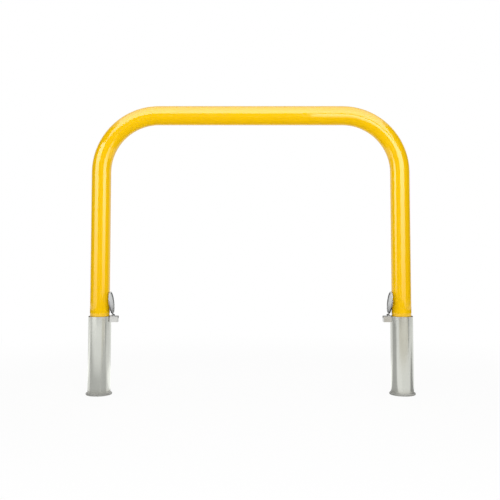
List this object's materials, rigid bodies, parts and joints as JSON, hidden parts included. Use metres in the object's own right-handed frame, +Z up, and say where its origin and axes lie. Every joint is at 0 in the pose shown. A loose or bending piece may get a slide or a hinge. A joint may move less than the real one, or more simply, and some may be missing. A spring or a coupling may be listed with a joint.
{
  "type": "removable arch bollard",
  "caption": "Bent tube arch that lifts out of a pair of ground sleeves, each with a base plate, a slotted hinge bracket and a round lid that folds over its mouth.",
  "frame": {"origin": "midway between the two ground sleeves, on the plane of the base plates' undersides", "axes": "+X along the arch towards the right leg, +Y through the arch away from the viewer, +Z up"},
  "size_m": [1.0196, 0.08, 0.9],
  "materials": {
    "arch_paint": "glossy yellow baked paint over steel tube",
    "sleeve_steel": "drawn stainless tube, satin along its length",
    "plate_steel": "cut stainless plate, dull",
    "bracket_steel": "cast stainless, ground smooth",
    "pin_steel": "turned stainless",
    "lid_steel": "cast stainless, face polished"
  },
  "bodies": {
    "ground_sleeves": {"left_sleeve_tube": "sleeve_steel", "left_base_plate": "plate_steel", "left_hinge_bracket": "bracket_steel", "left_hinge_pin": "pin_steel", "right_sleeve_tube": "sleeve_steel", "right_base_plate": "plate_steel", "right_hinge_bracket": "bracket_steel", "right_hinge_pin": "pin_steel"},
    "arch": {"arch_tube": "arch_paint"},
    "left_lid": {"left_lid": "lid_steel"},
    "right_lid": {"right_lid": "lid_steel"}
  },
  "joints": [
    {"name": "arch_lift", "type": "slide", "parent": "ground_sleeves", "child": "arch", "axis": [0, 0, 1], "range_m": [0, 0.26]},
    {"name": "left_lid_hinge", "type": "hinge", "parent": "ground_sleeves", "child": "left_lid", "pos_m": [-0.42905, 0, 0.2413], "axis": [0, 1, 0], "range_deg": [0, 89]},
    {"name": "right_lid_hinge", "type": "hinge", "parent": "ground_sleeves", "child": "right_lid", "pos_m": [0.42905, 0, 0.2413], "axis": [0, -1, 0], "range_deg": [0, 89]}
  ]
}
